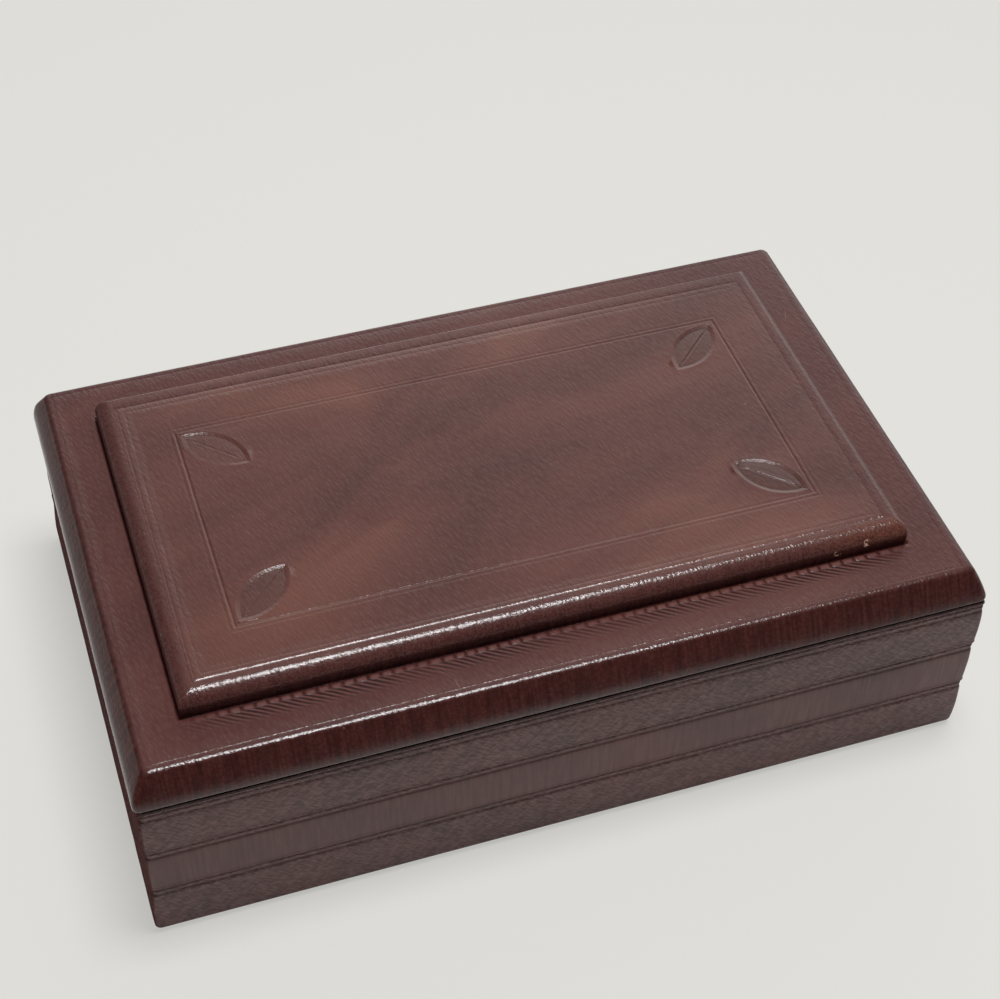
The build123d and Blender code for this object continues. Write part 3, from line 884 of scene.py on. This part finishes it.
frame_inset = lid_half_length - frame_half_length
frame_more = lid_half_width - frame_half_width - frame_inset
plain_from, plain_to, plain_steps = panel_lines[-1] + 1.0, frame_inset - 0.9, 9
for step in range(1, plain_steps):
    share = step / plain_steps
    inset = plain_from + share * (plain_to - plain_from)
    add_lid_loop((inset, panel_top), 0.3, more + share * (frame_more - more))
frame_lines = frame_inset, frame_inset + frame_spacing
frame_depths = [(0.05, 0.03, 0.03, 0.03), (0.08, 0.12, 0.07, 0.17)]
last_sample = frame_lines[-1] + 0.75
for inset, points in across_lines(frame_lines, frame_depths, frame_line):
    if inset < last_sample - 0.1:
        add_lid_loop(points, 0.25, frame_more)
add_lid_loop((last_sample, panel_top), 0.25, frame_more)
bridge_all(lid_mesh, lid_loops)
for vertex in lid_mesh.verts:
    if vertex.co.y > (hinge_y - 0.5) * mm and vertex.co.z < bevel_top * mm:
        vertex[shown] = 0.0

# Inside the frame: a plain field, and in each corner a stamp in the shape of a leaf with a midrib.
field_x, field_y = lid_half_length - last_sample, lid_half_width - last_sample - frame_more
field = []
for row in range(columns_y + 1):
    y = field_y * (2 * row / columns_y - 1)
    line = [(field_x * (2 * column / columns_x - 1), y) for column in range(columns_x + 1)]
    field.append([lid_mesh.verts.new((x * mm, y * mm, panel_top * mm)) for x, y in line])
    for vertex in field[-1]:
        vertex[shown] = 1.0
left_edge, right_edge = [line[0] for line in field], [line[-1] for line in field]
field_edge = []
for edge in (field[0], right_edge, field[-1][::-1], left_edge[::-1]):
    field_edge += [edge, edge[-1:]]
bridge(lid_mesh, lid_loops[-1], field_edge)

leaf_half_length, leaf_half_width, leaf_turn = 8.5, 4.2, radians(44.0)
leaf_x, leaf_y, leaf_points, rib_half_length = 55.0, 21.4, 120, 6.4


def arc_radius(half_length, half_width):
    """The radius of the two arcs that bound a leaf."""
    return (half_length ** 2 + half_width ** 2) / (2 * half_width)


leaf_radius = arc_radius(leaf_half_length, leaf_half_width)


def leaf_outline(half_length, half_width):
    """A closed outline of two arcs that meet in points, or of a line there and back."""
    points = []
    for index in range(leaf_points):
        angle = 2 * pi * index / leaf_points
        x, y = half_length * cos(angle), 0.0
        if half_width > 0:
            radius = arc_radius(half_length, half_width)
            y = sqrt(max(0.0, radius ** 2 - x ** 2)) - (radius - half_width)
        points.append((x, y if sin(angle) >= 0 else -y))
    return points


def leaf_distance(x, y):
    """How far a point is from the leaf's outline, less than nothing inside it."""
    to_centre = sqrt(x ** 2 + (abs(y) + leaf_radius - leaf_half_width) ** 2)
    if to_centre > leaf_radius and leaf_radius * abs(x) / to_centre > leaf_half_length:
        return sqrt((abs(x) - leaf_half_length) ** 2 + y ** 2)
    return to_centre - leaf_radius


def leaf_height(x, y, worn):
    """The stamp: a sloping edge, a sunk blade that swells towards its middle, and a pressed midrib.
    Where it is worn, the side towards the middle of the edge and the midrib have nearly gone."""
    out = leaf_distance(x, y)
    step = min(1.0, max(0.0, (0.15 - out) / (0.85 - 0.12 * worn)))
    kept = 1 - 0.85 * worn * smooth(1.0, -3.6, y)
    lip = 0.03 * bell(out, 0.4, 0.25)
    swell = 0.12 * (1 - exp(-max(0.0, -out - 0.7) / 1.2))
    along = min(1.0, max(0.0, (rib_half_length - abs(x)) / 1.2))
    midrib = (1 - 0.75 * worn) * along * pressed_line(y, 0.13, 0.42, 0.05)
    return kept * (-0.25 * step + lip + swell) + midrib


def stitch_between(mesh, outer, inner, centre):
    """Triangles between two closed outlines, both going round one centre."""
    def bearing(vertex):
        return atan2(vertex.co.y - centre[1], vertex.co.x - centre[0])

    outer, inner = sorted(outer, key=bearing), sorted(inner, key=bearing)
    outer_turns = [bearing(vertex) for vertex in outer] + [bearing(outer[0]) + 2 * pi]
    inner_turns = [bearing(vertex) for vertex in inner] + [bearing(inner[0]) + 2 * pi]
    i = j = 0
    while i < len(outer) or j < len(inner):
        here, there = outer[i % len(outer)], inner[j % len(inner)]
        if j >= len(inner) or (i < len(outer) and outer_turns[i + 1] <= inner_turns[j + 1]):
            mesh.faces.new((here, outer[(i + 1) % len(outer)], there))
            i += 1
        else:
            mesh.faces.new((here, inner[(j + 1) % len(inner)], there))
            j += 1


ring_sizes = []
for out in (0.9, 0.6, 0.4, 0.25, 0.15, 0.08, -0.05, -0.2, -0.35, -0.5, -0.62, -0.7, -0.85, -1.1):
    reach = leaf_half_length + 0.32 * (1 - exp(-out / 0.32)) if out > 0 else leaf_half_length + 1.3 * out
    ring_sizes.append((reach, leaf_half_width + out))
for width in (2.5, 1.9, 1.4, 1.0, 0.72, 0.5, 0.36, 0.24, 0.12, 0.0):
    ring_sizes.append((rib_half_length + 0.32 * width, width))
block = leaf_half_length * cos(leaf_turn) + 1.5
stamped = set()
for side_x, side_y in ((-1, -1), (-1, 1), (1, -1), (1, 1)):
    centre_x, centre_y = side_x * leaf_x, side_y * leaf_y
    columns = [c for c in range(columns_x + 1) if abs(field[0][c].co.x / mm - centre_x) < block]
    rows = [r for r in range(columns_y + 1) if abs(field[r][0].co.y / mm - centre_y) < block]
    stamped.update((row, column) for row in rows[:-1] for column in columns[:-1])
    around = [field[r][c] for r in (rows[0], rows[-1]) for c in columns]
    around += [field[r][c] for r in rows[1:-1] for c in (columns[0], columns[-1])]
    inside = [field[r][c] for r in rows[1:-1] for c in columns[1:-1]]
    turn = side_x * side_y * leaf_turn
    worn = 1.0 if side_x < 0 < side_y else 0.0
    rings = []
    for half_length, half_width in ring_sizes:
        ring = []
        for x, y in leaf_outline(half_length, half_width):
            spot = (
                (centre_x + x * cos(turn) - y * sin(turn)) * mm,
                (centre_y + x * sin(turn) + y * cos(turn)) * mm,
                (panel_top + leaf_height(x, y, worn)) * mm,
            )
            ring.append(lid_mesh.verts.new(spot))
            ring[-1][shown] = 1.0
            ring[-1][stamp] = smooth(0.1, -0.6, leaf_distance(x, y)) * (1 - 0.8 * worn)
        rings.append(ring)
    stitch_between(lid_mesh, around, rings[0], (centre_x * mm, centre_y * mm))
    for outer, inner in zip(rings, rings[1:]):
        band(lid_mesh, outer, inner)
    for vertex in inside:
        lid_mesh.verts.remove(vertex)
fill_grid(lid_mesh, field, stamped)

# The polished calf: mottled red-brown, darker and redder on the rolls, pebbled in slanting rows, with a few
# pale specks and hair-fine scratches from years of use. Shade is painted beside the tooled lines, and shade
# and light on the puckers.
calf = Material("lid_calf")
place = calf.place()
x, y, z = calf.split(place)
drifts = calf.place((0, 0, radians(-24)), (0.6, 1.3, 1.0))
clouds = calf.ramp(
    calf.noise(drifts, 27, 5.0, Roughness=0.55, Distortion=0.5),
    (0.30, (0.062, 0.0190, 0.0170)),
    (0.47, (0.096, 0.0285, 0.0235)),
    (0.56, (0.120, 0.0370, 0.0285)),
    (0.70, (0.160, 0.0570, 0.0400)),
)
# Marks the rolled faces, and the near side of each tooled line, where the darkening is painted shade.
worked_edge_and_line_shade = calf.mark("worked_and_line_shade")
on_border = calf.spread(z, 49.6 * mm, 51.0 * mm, 0.5, 0.0)

# Pebbles lie along slanting rows; on the rolled edges, fine streaks run the way the leather was drawn.
pebble, row_pitch = 1 / (0.66 * mm), 1 / (1.7 * mm)
cells = calf.place((0, 0, radians(-17)), (pebble, row_pitch, pebble))
cells = {"Vector": cells, "Scale": 1.0, "Smoothness": 0.7, "Randomness": 0.75}
pebbles = calf.make("ShaderNodeTexVoronoi", cells, "Distance", feature="SMOOTH_F1")
grain = calf.spread(pebbles, 0.75, 0.05)
fine = calf.noise(place, 2600, 3.0, Roughness=0.6)
serrated = calf.noise(place, 1500)
at_an_end = calf.spread(calf.math("ABSOLUTE", calf.sideways()), 0.3, 0.45)
streaks = calf.mix(
    at_an_end,
    calf.noise(calf.place(scale=(1300, 110, 110)), 1.0),
    calf.noise(calf.place(scale=(110, 1300, 110)), 1.0),
)
rolled_over = worked_edge_and_line_shade * calf.spread(z, 49.8 * mm, 51.0 * mm)

# The hollows of the puckers are painted darker as shade, and the pads and ridges between them paler, partly
# rubbed and partly painted light; the ridges are painted in dark and pale stripes.
crease, ridged = calf.mark("crease"), calf.mark("ridged")
wave = calf.math("COSINE", calf.mark("turns") * (2 * pi))
painted_hollow_shade, rubbed_and_lit_pale = (0.016, 0.0050, 0.0055), (0.210, 0.095, 0.088)

# Pale specks, scratches, and the front crest of the panel worn to a warmer brown towards its right end.
cell = calf.make("ShaderNodeTexVoronoi", {"Vector": place, "Scale": 170}, "Distance", feature="F1")
chosen = Value(calf, cell.socket.node.outputs["Color"])
chosen = calf.make("ShaderNodeSeparateColor", {"Color": chosen}, "Red")
speck = calf.math("LESS_THAN", cell, calf.spread(chosen, 0.8, 1.0, 0.0, 0.04))
lines = {"Vector": calf.place((0, 0, radians(33)), (0.3, 1.0, 1.0)), "Scale": 75}
scratch = calf.make("ShaderNodeTexVoronoi", lines, "Distance", feature="DISTANCE_TO_EDGE")
scratch = calf.math("LESS_THAN", scratch, 0.0022) * calf.spread(calf.noise(place, 110, 1.0), 0.62, 0.72)
rubbed = calf.spread(x, 52 * mm, 70 * mm) * calf.spread(y, -39.5 * mm, -41.0 * mm)
rubbed = rubbed * calf.spread(z, 50.2 * mm, 52.0 * mm) * calf.spread(fine, 0.42, 0.62, 0.1, 0.5)
colour = calf.layers(
    clouds,
    (on_border, (0.068, 0.0135, 0.0150)),
    # Darker and redder on the rolled faces, and painted shade on the near side of each tooled line.
    (worked_edge_and_line_shade * 0.8, (0.062, 0.0115, 0.0110)),
    (calf.mark("stamp") * 0.45, (0.045, 0.0230, 0.0215)),
    (grain * 0.42, (0.130, 0.060, 0.047)),
    (worked_edge_and_line_shade * calf.spread(streaks, 0.35, 0.65, 0.0, 0.6), (0.024, 0.0060, 0.0065)),
    (rolled_over * calf.spread(fine, 0.44, 0.60, 0.1, 0.75), (0.135, 0.056, 0.052)),
    (calf.spread(crease, 0.0, 1.0, 0.0, 0.85), painted_hollow_shade),
    (calf.spread(crease, 0.0, -0.8, 0.0, 0.5), rubbed_and_lit_pale),
    (ridged * calf.spread(wave, -0.4, 0.7, 0.0, 0.9), painted_hollow_shade),
    (ridged * calf.spread(wave, 0.0, -1.0, 0.0, 0.4), rubbed_and_lit_pale),
    (speck * 0.7, (0.36, 0.26, 0.21)),
    (scratch * 0.22, (0.30, 0.20, 0.17)),
    (rubbed, (0.230, 0.080, 0.042)),
)
for spot in ((61.0 * mm, -44.0 * mm, 50.8 * mm), (67.6 * mm, -43.6 * mm, 51.6 * mm)):
    gap = calf.make("ShaderNodeVectorMath", {0: place, 1: spot}, "Value", operation="DISTANCE")
    chipped = calf.spread(gap, 1.0 * mm, 0.6 * mm) * calf.spread(serrated, 0.50, 0.56)
    colour = calf.layers(colour, (chipped, (0.95, 0.62, 0.50)))

# The coat is thinner on the rolls, the border and the ridges, and it shines most towards the left.
worked_hard = worked_edge_and_line_shade * worked_edge_and_line_shade
coat = calf.spread(worked_hard, 0.0, 1.0, 0.44, 0.24) * calf.spread(on_border, 0.0, 0.5, 1.0, 0.75)
coat = coat * calf.spread(ridged, 0.0, 1.0, 1.0, 0.5)
coat = coat + calf.mark("shine") * calf.spread(x, 10 * mm, 65 * mm, 0.85, 0.15)
calf.finish(
    {
        "Base Color": colour,
        "Roughness": 0.36,
        "Specular IOR Level": calf.spread(worked_hard, 0.0, 1.0, 0.22, 0.08),
        "Coat Weight": calf.spread(coat, 0.0, 1.0),
        "Coat Roughness": 0.14,
    },
    grain + fine + streaks * worked_edge_and_line_shade * 0.5 + serrated * calf.mark("seam") * 2.0 + ridged * wave * -0.25,
    0.036 * mm,
)

lid_leather = make_piece("lid_leather_skin", lid_mesh, calf.data)
cut_hinge_seats(lid_leather, 1)
work_leather(
    lid_leather,
    seed=3.0,
    unevenness=0.10 * mm,
    ripple=0.03 * mm,
    pucker_depth=0.10 * mm,
    foot_line=(lid_half_width - foot_front) * mm,
)
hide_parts("lid_leather")
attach(lid_leather, "lid")

# The hinges: two small brass butt hinges, each of two leaves let into the rim and the lid, with three
# knuckles round a plain pin. The brass is polished but has dulled a little.


def dull_brass():
    """Polished brass with faint smears and fine scratches along the hinge."""
    metal = Material("hinge_brass")
    smear = metal.noise(metal.place(scale=(60, 900, 900)), 1.0, 4.0)
    look = {
        "Base Color": metal.ramp(smear, (0.3, (0.62, 0.43, 0.17)), (0.7, (0.80, 0.60, 0.27))),
        "Roughness": metal.spread(smear, 0.3, 0.7, 0.2, 0.42),
        "Metallic": 1.0,
    }
    return metal.finish(look, smear, 0.01 * mm, 0.4)


brass = dull_brass()
for side in ("left", "right"):
    for part in ("hinge_base_leaf", "hinge_lid_leaf", "hinge_pin"):
        finish_node(f"{side}_{part}", brass)
for screws in ("base_hinge_screws", "lid_hinge_screws"):
    finish_node(screws, brass)

# The table top: plain, pale and matt, as wide as any view needs.
# The camera sees it nearly as white in the shade of the box as elsewhere, as in the photograph.
table = Material("pale_table")
table.fill(table.shader, {"Base Color": (0.80, 0.795, 0.765, 1), "Roughness": 0.85})
even = table.make("ShaderNodeEmission", {"Color": (0.755, 0.750, 0.715, 1), "Strength": 1.0})
seen = table.make("ShaderNodeLightPath", out="Is Camera Ray")
lit = Value(table, table.shader.outputs[0])
evened = table.make("ShaderNodeMixShader", {0: seen * 0.62, 1: lit, 2: even})
table.fill(table.tree.nodes["Material Output"], {"Surface": evened})
table_mesh = bmesh.new()
bmesh.ops.create_grid(table_mesh, x_segments=1, y_segments=1, size=4.0)
table_top = make_piece("table_top", table_mesh, table.data)

# The lamp overhead, whose reflection makes the bright lines along the front crests.
lamp = bpy.data.lights.new("lamp_overhead", "AREA")
lamp.shape = "RECTANGLE"
lamp.size, lamp.size_y = 0.34, 0.40
lamp.energy = 8.9
overhead = put_in_scene("lamp_overhead", lamp)
overhead.location = 0.10, -0.03, 1.10
overhead.rotation_euler = (Vector((0.0, 0.0, 0.04)) - overhead.location).to_track_quat("-Z", "Y").to_euler()

# The room: pale and bright behind the box and to its right, dim in front, seen only in reflections.
world = bpy.data.worlds.new("room")
bpy.context.scene.world = world
world.use_nodes = True
room = Nodes(world.node_tree)
towards = {0: room.make("ShaderNodeTexCoord", out="Generated"), 1: (0.46, 0.86, 0.22)}
bright_side = room.make("ShaderNodeVectorMath", towards, "Value", operation="DOT_PRODUCT")
walls = room.ramp(
    room.spread(bright_side, -1.0, 1.0),
    (0.0, (0.10, 0.098, 0.096)),
    (0.42, (0.125, 0.122, 0.12)),
    (0.66, (0.15, 0.147, 0.145)),
    (0.86, (0.26, 0.255, 0.25)),
    (0.895, (0.42, 0.415, 0.41)),
    (0.93, (0.95, 0.94, 0.93)),
    (0.97, (1.35, 1.33, 1.31)),
    (1.0, (1.5, 1.48, 1.46)),
)
seen = room.make("ShaderNodeLightPath", out="Is Camera Ray")
walls = room.layers(walls, (seen, (0.83, 0.825, 0.81)))
room.fill(room.tree.nodes["Background"], {"Color": walls, "Strength": 1.0})

# The camera stands in front and a little to the left, looking down on the lid.
azimuth, elevation, tilt = radians(-19.152), radians(45.906), radians(1.276)
distance, aim = 0.47240, Vector((0.0075, 0.0154, 0.0250))
back = Vector((sin(azimuth) * cos(elevation), -cos(azimuth) * cos(elevation), sin(elevation)))
right = (-back).cross(Vector((0, 0, 1))).normalized()
up = right.cross(-back)
tilted_right = cos(tilt) * right + sin(tilt) * up
tilted_up = cos(tilt) * up - sin(tilt) * right
lens = bpy.data.cameras.new("camera")
lens.sensor_width = 36
lens.lens = 74.425
camera = put_in_scene("camera", lens)
turned = Matrix((tilted_right, tilted_up, back)).transposed().to_4x4()
camera.matrix_world = Matrix.Translation(aim + distance * back) @ turned
bpy.context.scene.camera = camera
bpy.context.scene.view_settings.view_transform = "Standard"
